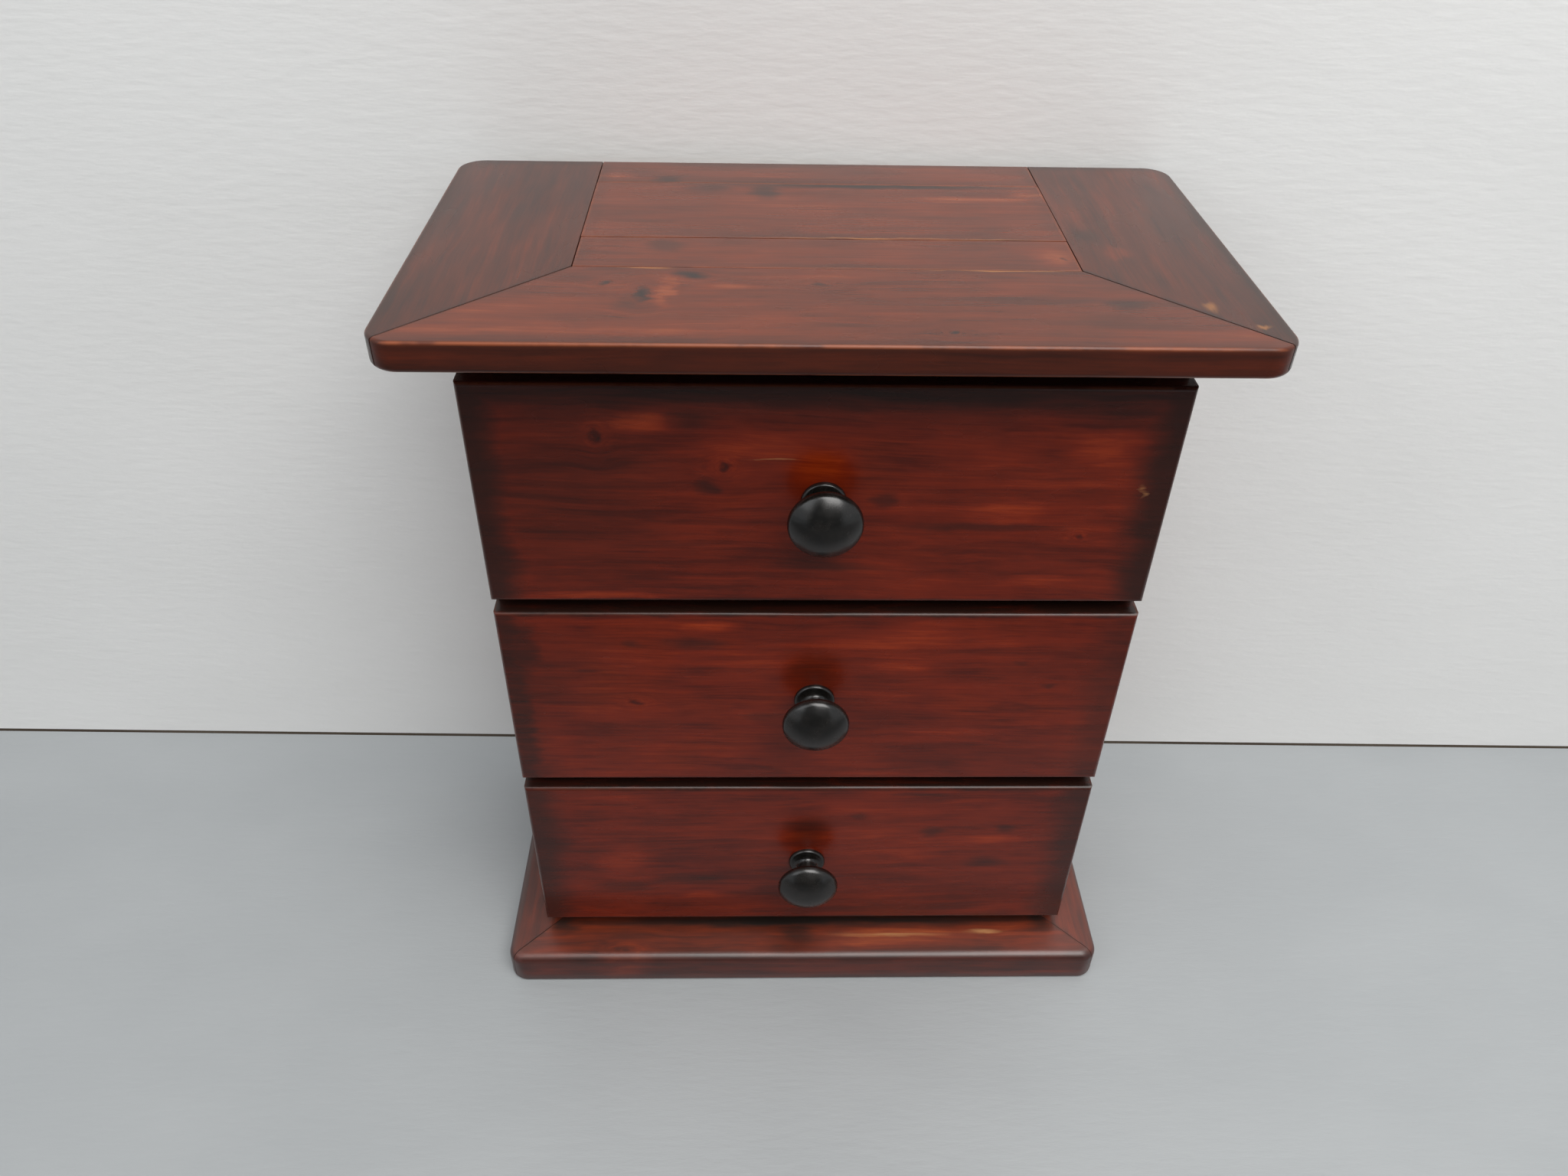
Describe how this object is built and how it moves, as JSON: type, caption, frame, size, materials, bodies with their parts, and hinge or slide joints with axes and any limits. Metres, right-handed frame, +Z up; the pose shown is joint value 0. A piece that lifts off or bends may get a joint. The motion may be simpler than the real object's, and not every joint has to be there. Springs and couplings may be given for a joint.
{
  "type": "jewelry chest",
  "caption": "Small upright chest of drawers for jewellery, with an overhanging mitred top, a moulded base and turned mushroom knobs.",
  "frame": {"origin": "middle of the chest's footprint, on the surface that it stands on", "axes": "+X to the right as seen from in front, +Y to the back, +Z up; the drawers open towards -Y"},
  "size_m": [0.338, 0.191, 0.4047],
  "materials": {
    "top_wood_along_x": "stained, satin varnish, grain along X",
    "top_wood_along_y": "stained, satin varnish, grain along Y",
    "front_wood": "stained, satin varnish, grain along X",
    "panel_wood": "stained, satin varnish, grain along Z",
    "shelf_wood": "stained, grain along X",
    "base_wood_along_x": "stained, satin varnish, grain along X",
    "base_wood_along_y": "stained, satin varnish, grain along Y",
    "box_wood_along_x": "plain, sanded, grain along X",
    "box_wood_along_y": "plain, sanded, grain along Y",
    "plywood": "plain thin board",
    "bronzed_metal": "dark bronzed, semi-gloss",
    "steel": "zinc plated"
  },
  "bodies": {
    "case": {"top_front_rail": "top_wood_along_x", "top_narrow_board": "top_wood_along_x", "top_wide_board": "top_wood_along_x", "top_back_rail": "top_wood_along_x", "top_left_rail": "top_wood_along_y", "top_right_rail": "top_wood_along_y", "left_side_panel": "panel_wood", "right_side_panel": "panel_wood", "case_bottom": "shelf_wood", "lower_divider": "shelf_wood", "upper_divider": "shelf_wood", "case_top": "shelf_wood", "front_apron": "shelf_wood", "back_panel": "plywood", "base_front_rail": "base_wood_along_x", "base_back_rail": "base_wood_along_x", "base_left_rail": "base_wood_along_y", "base_right_rail": "base_wood_along_y", "top_screws": "steel", "base_screws": "steel", "back_pins": "steel"},
    "bottom_drawer": {"bottom_drawer_front": "front_wood", "bottom_drawer_box_front": "box_wood_along_x", "bottom_drawer_left_side": "box_wood_along_y", "bottom_drawer_right_side": "box_wood_along_y", "bottom_drawer_back": "box_wood_along_x", "bottom_drawer_bottom": "plywood", "bottom_drawer_knob": "bronzed_metal", "bottom_drawer_knob_screw": "steel", "bottom_drawer_front_screws": "steel", "bottom_drawer_corner_pins": "steel"},
    "middle_drawer": {"middle_drawer_front": "front_wood", "middle_drawer_box_front": "box_wood_along_x", "middle_drawer_left_side": "box_wood_along_y", "middle_drawer_right_side": "box_wood_along_y", "middle_drawer_back": "box_wood_along_x", "middle_drawer_bottom": "plywood", "middle_drawer_knob": "bronzed_metal", "middle_drawer_knob_screw": "steel", "middle_drawer_front_screws": "steel", "middle_drawer_corner_pins": "steel"},
    "top_drawer": {"top_drawer_front": "front_wood", "top_drawer_box_front": "box_wood_along_x", "top_drawer_left_side": "box_wood_along_y", "top_drawer_right_side": "box_wood_along_y", "top_drawer_back": "box_wood_along_x", "top_drawer_bottom": "plywood", "top_drawer_knob": "bronzed_metal", "top_drawer_knob_screw": "steel", "top_drawer_front_screws": "steel", "top_drawer_corner_pins": "steel"}
  },
  "joints": [
    {"name": "bottom_drawer_slide", "type": "slide", "parent": "case", "child": "bottom_drawer", "axis": [0, -1, 0], "range_m": [0, 0.1]},
    {"name": "middle_drawer_slide", "type": "slide", "parent": "case", "child": "middle_drawer", "axis": [0, -1, 0], "range_m": [0, 0.1]},
    {"name": "top_drawer_slide", "type": "slide", "parent": "case", "child": "top_drawer", "axis": [0, -1, 0], "range_m": [0, 0.1]}
  ]
}
